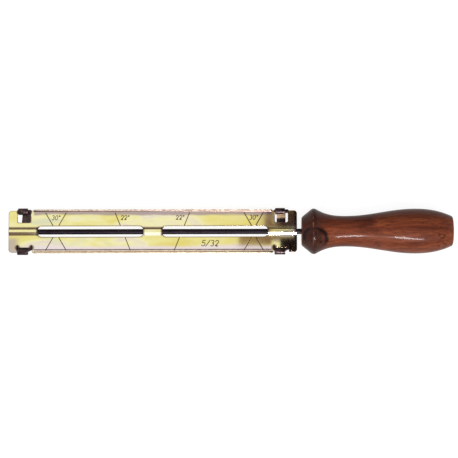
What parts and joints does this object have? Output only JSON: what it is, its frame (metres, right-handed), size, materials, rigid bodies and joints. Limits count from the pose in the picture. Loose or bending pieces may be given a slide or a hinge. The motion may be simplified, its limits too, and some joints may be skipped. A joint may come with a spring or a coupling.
{
  "type": "chainsaw file guide",
  "caption": "Flat stamped filing guide with upturned edges and sight slots, swinging spring clips that hold a round file under it, and a turned wooden handle on the file's tang.",
  "frame": {"origin": "on the file's axis, halfway along the whole tool, which is the middle of its box", "axes": "+X along the file from the guide's tip end to the handle's butt, +Y across the plate towards the clips' hinge side, +Z out of the plate's upper, marked face"},
  "size_m": [0.3204, 0.0338, 0.033],
  "materials": {
    "yellow_zinc": "yellow-passivated zinc plating, semi-gloss, faintly iridescent",
    "black_spring_steel": "blackened, oiled satin",
    "file_steel": "dark, fine spiral teeth",
    "varnished_wood": "red-brown stained hardwood under clear varnish"
  },
  "bodies": {
    "plate": {"guide_plate": "yellow_zinc"},
    "tip_clip": {"tip_clip": "black_spring_steel"},
    "handle_clip": {"handle_clip": "black_spring_steel"},
    "file": {"round_file": "file_steel"},
    "handle": {"handle": "varnished_wood"}
  },
  "joints": [
    {"name": "tip_clip_swing", "type": "hinge", "parent": "plate", "child": "tip_clip", "pos_m": [-0.1498, 0.0145, 0.00164], "axis": [1, 0, 0], "range_deg": [0, 180]},
    {"name": "handle_clip_swing", "type": "hinge", "parent": "plate", "child": "handle_clip", "pos_m": [0.0356, 0.0145, 0.00164], "axis": [1, 0, 0], "range_deg": [0, 180]},
    {"name": "file_slide", "type": "slide", "parent": "plate", "child": "file", "axis": [1, 0, 0], "range_m": [-0.002, 0.21]},
    {"name": "handle_pull", "type": "slide", "parent": "file", "child": "handle", "axis": [1, 0, 0], "range_m": [0, 0.05]}
  ]
}
